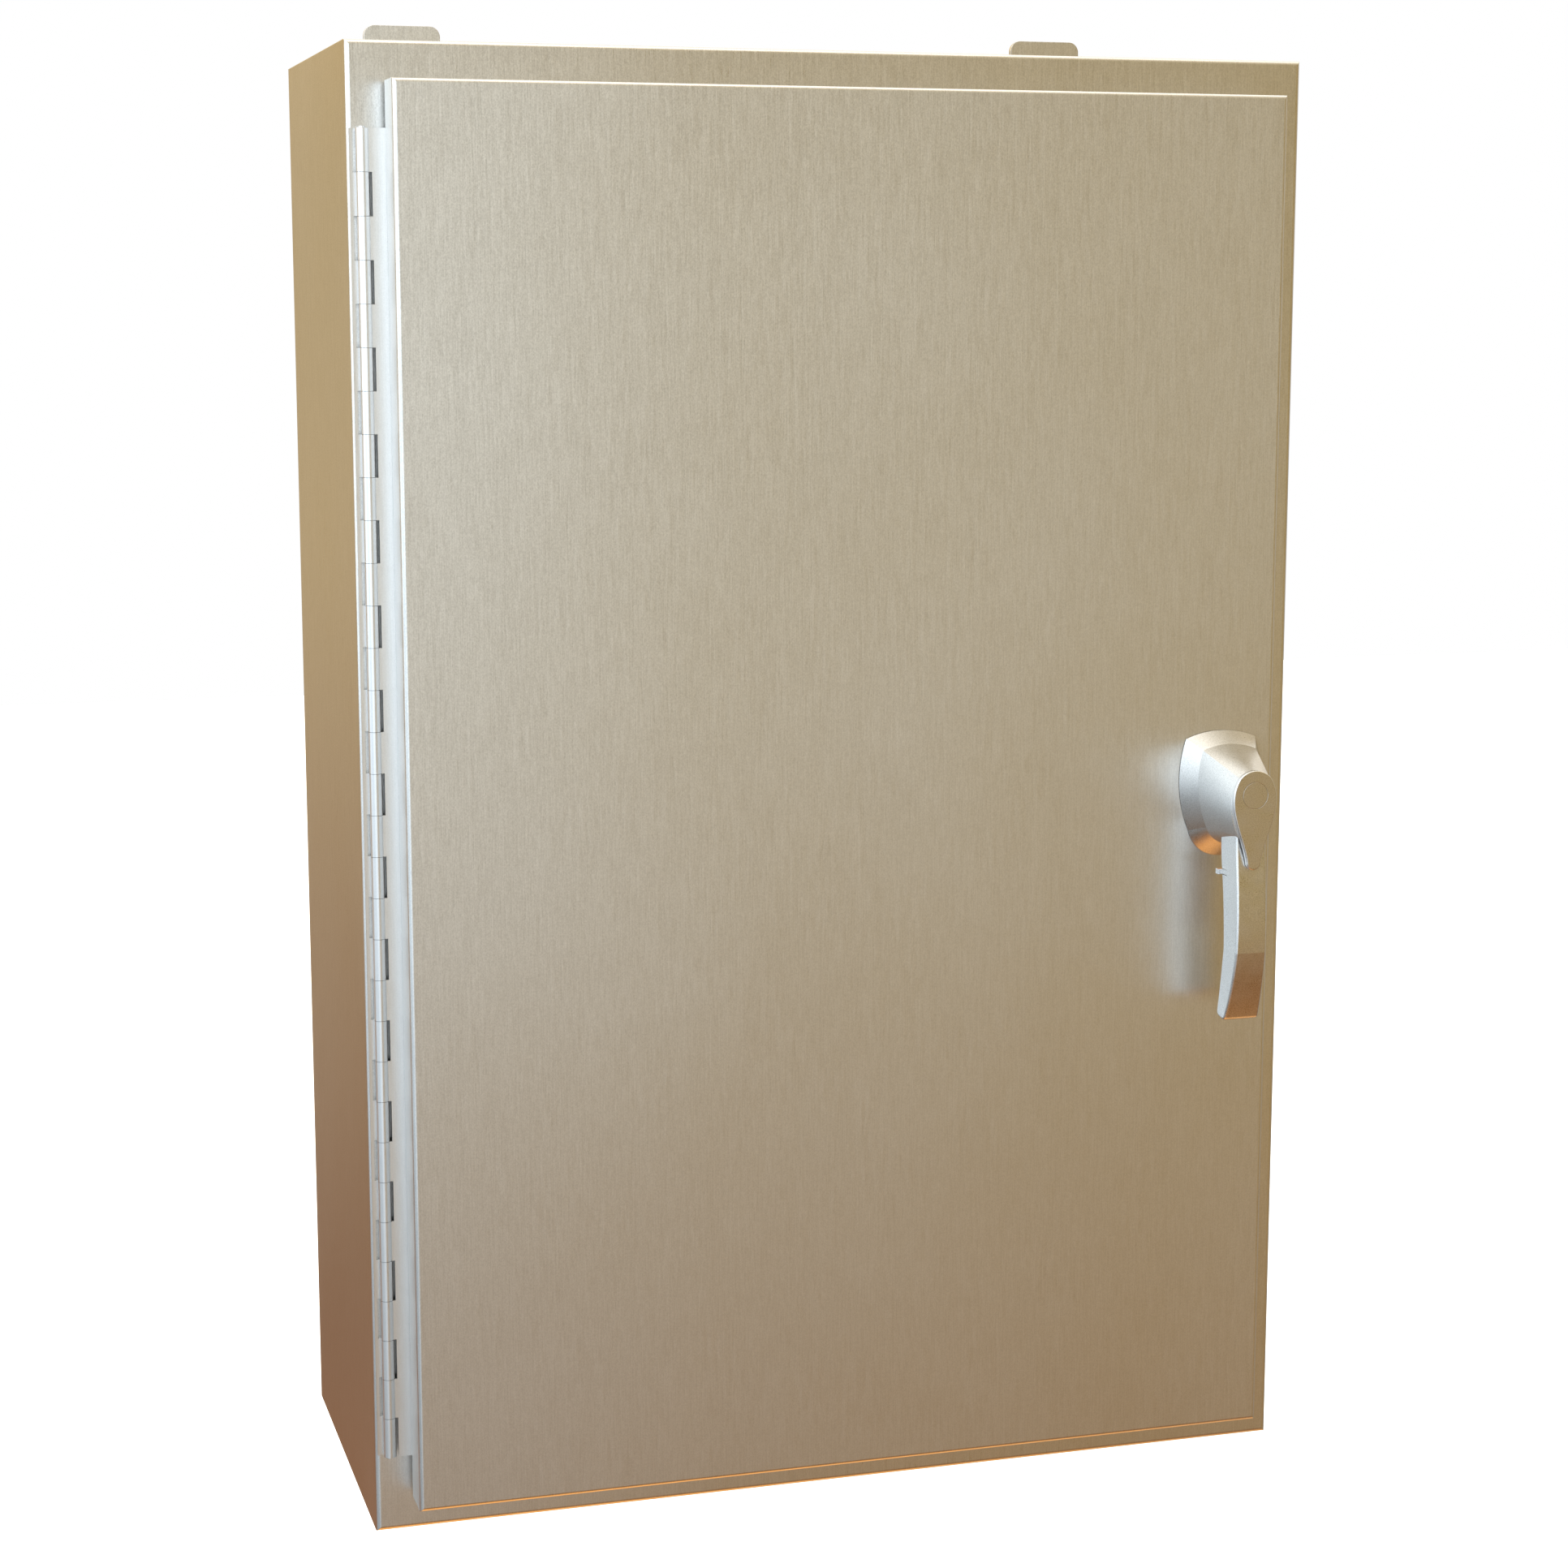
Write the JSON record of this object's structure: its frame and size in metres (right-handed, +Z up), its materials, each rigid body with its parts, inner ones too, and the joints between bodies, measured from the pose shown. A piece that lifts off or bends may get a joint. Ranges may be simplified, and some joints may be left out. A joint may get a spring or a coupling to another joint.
{
  "type": "fused disconnect switch",
  "caption": "Tall wall-mount stainless enclosure with a full-length side hinge, a single lever handle and a fused rotary knife switch inside.",
  "frame": {"origin": "on the wall plane, at the centre of the four wall-foot holes", "axes": "+X to the right seen from the front, +Y into the wall, +Z up"},
  "size_m": [0.6096, 0.345, 0.9744],
  "materials": {
    "stainless_body": "brushed stainless sheet with a fine vertical grain",
    "stainless_door": "brushed stainless sheet with a fine vertical grain",
    "stainless_hinge": "rolled stainless hinge stock",
    "stainless_inner": "dull stainless sheet",
    "cast_handle": "satin cast stainless",
    "zinc_steel": "zinc plated steel",
    "seal_rubber": "foamed black seal",
    "white_panel": "white powder coat",
    "pocket_plastic": "grey moulded plastic",
    "roller_nylon": "natural nylon",
    "black_moulding": "black glass-filled moulding",
    "fibre_board": "red vulcanised fibre",
    "clear_plastic": "clear polycarbonate sheet",
    "copper": "plain copper, slightly dulled",
    "lug_aluminium": "tin plated aluminium",
    "fuse_tube": "filament-wound tube",
    "fuse_metal": "plated brass caps and blades"
  },
  "bodies": {
    "enclosure": {"enclosure_body": "stainless_body", "mounting_feet": "stainless_body", "hinge_body_leaf": "stainless_hinge", "hinge_pin": "stainless_hinge", "back_panel": "white_panel", "panel_studs": "zinc_steel", "panel_nuts": "zinc_steel", "switch_base": "black_moulding", "rotor_pivots": "zinc_steel", "phase_barriers": "fibre_board", "line_shield": "clear_plastic", "line_contacts": "copper", "fuse_clips_line": "copper", "fuse_clips_load": "copper", "line_lugs": "lug_aluminium", "load_lugs": "lug_aluminium", "lug_screws": "zinc_steel", "mechanism_frame": "zinc_steel", "ground_bar": "copper", "fuse_body_a": "fuse_tube", "fuse_body_b": "fuse_tube", "fuse_body_c": "fuse_tube", "fuse_ends_a": "fuse_metal", "fuse_ends_b": "fuse_metal", "fuse_ends_c": "fuse_metal"},
    "door": {"door_panel": "stainless_door", "hinge_door_leaf": "stainless_hinge", "door_gasket": "seal_rubber", "door_stiffener_left": "stainless_inner", "door_stiffener_right": "stainless_inner", "data_pocket": "pocket_plastic", "handle_seal": "seal_rubber", "door_bushing": "zinc_steel", "bushing_nut": "zinc_steel", "rod_guide_upper": "zinc_steel", "rod_guide_lower": "zinc_steel"},
    "handle": {"handle_casting": "cast_handle", "handle_lever": "cast_handle", "handle_plug": "cast_handle", "handle_screw": "zinc_steel", "handle_shaft": "zinc_steel", "latch_cam": "zinc_steel", "cam_clips": "zinc_steel", "shaft_socket": "zinc_steel"},
    "lock_tab": {"lock_tab": "zinc_steel"},
    "upper_rod": {"latch_rod_upper": "zinc_steel", "roller_axle_upper": "zinc_steel"},
    "lower_rod": {"latch_rod_lower": "zinc_steel", "roller_axle_lower": "zinc_steel"},
    "upper_roller": {"latch_roller_upper": "roller_nylon"},
    "lower_roller": {"latch_roller_lower": "roller_nylon"},
    "switch_shaft": {"switch_shaft": "zinc_steel", "shaft_crank": "zinc_steel"},
    "yoke_bar": {"yoke_bar": "zinc_steel"},
    "rotor_a": {"rotor_a": "black_moulding", "blade_a": "copper"},
    "rotor_b": {"rotor_b": "black_moulding", "blade_b": "copper"},
    "rotor_c": {"rotor_c": "black_moulding", "blade_c": "copper"}
  },
  "joints": [
    {"name": "door_hinge", "type": "hinge", "parent": "enclosure", "child": "door", "pos_m": [-0.296, -0.2615, 0], "axis": [0, 0, -1], "range_deg": [0, 180]},
    {"name": "handle_turn", "type": "hinge", "parent": "door", "child": "handle", "pos_m": [0.2443, -0.291, 0], "axis": [0, 1, 0], "range_deg": [0, 90]},
    {"name": "latch_up", "type": "slide", "parent": "door", "child": "upper_rod", "axis": [0, 0, 1], "range_m": [0, 0.02263]},
    {"name": "latch_down", "type": "slide", "parent": "door", "child": "lower_rod", "axis": [0, 0, -1], "range_m": [0, 0.02263]},
    {"name": "upper_roller_spin", "type": "hinge", "parent": "upper_rod", "child": "upper_roller", "pos_m": [0.2293, -0.2465, 0.408], "axis": [1, 0, 0], "continuous": true},
    {"name": "lower_roller_spin", "type": "hinge", "parent": "lower_rod", "child": "lower_roller", "pos_m": [0.2593, -0.2465, -0.408], "axis": [1, 0, 0], "continuous": true},
    {"name": "lock_tab_slide", "type": "slide", "parent": "handle", "child": "lock_tab", "axis": [-1, 0, 0], "range_m": [0, 0.012]},
    {"name": "shaft_turn", "type": "hinge", "parent": "enclosure", "child": "switch_shaft", "pos_m": [0.2443, -0.15, 0], "axis": [0, 1, 0], "range_deg": [0, 90]},
    {"name": "yoke_slide", "type": "slide", "parent": "enclosure", "child": "yoke_bar", "axis": [1, 0, 0], "range_m": [0, 0.02546]},
    {"name": "rotor_a_turn", "type": "hinge", "parent": "enclosure", "child": "rotor_a", "pos_m": [0.03, -0.06, 0], "axis": [0, 1, 0], "range_deg": [0, 90]},
    {"name": "rotor_b_turn", "type": "hinge", "parent": "enclosure", "child": "rotor_b", "pos_m": [0.102, -0.06, 0], "axis": [0, 1, 0], "range_deg": [0, 90]},
    {"name": "rotor_c_turn", "type": "hinge", "parent": "enclosure", "child": "rotor_c", "pos_m": [0.174, -0.06, 0], "axis": [0, 1, 0], "range_deg": [0, 90]}
  ],
  "couplings": [
    {"joint": "latch_up", "follows": "handle_turn", "m_per_rad": 0.014405},
    {"joint": "latch_down", "follows": "handle_turn", "m_per_rad": 0.014405},
    {"joint": "shaft_turn", "follows": "handle_turn", "ratio": 1},
    {"joint": "yoke_slide", "follows": "handle_turn", "m_per_rad": 0.016206},
    {"joint": "rotor_a_turn", "follows": "handle_turn", "ratio": 1},
    {"joint": "rotor_b_turn", "follows": "handle_turn", "ratio": 1},
    {"joint": "rotor_c_turn", "follows": "handle_turn", "ratio": 1}
  ]
}
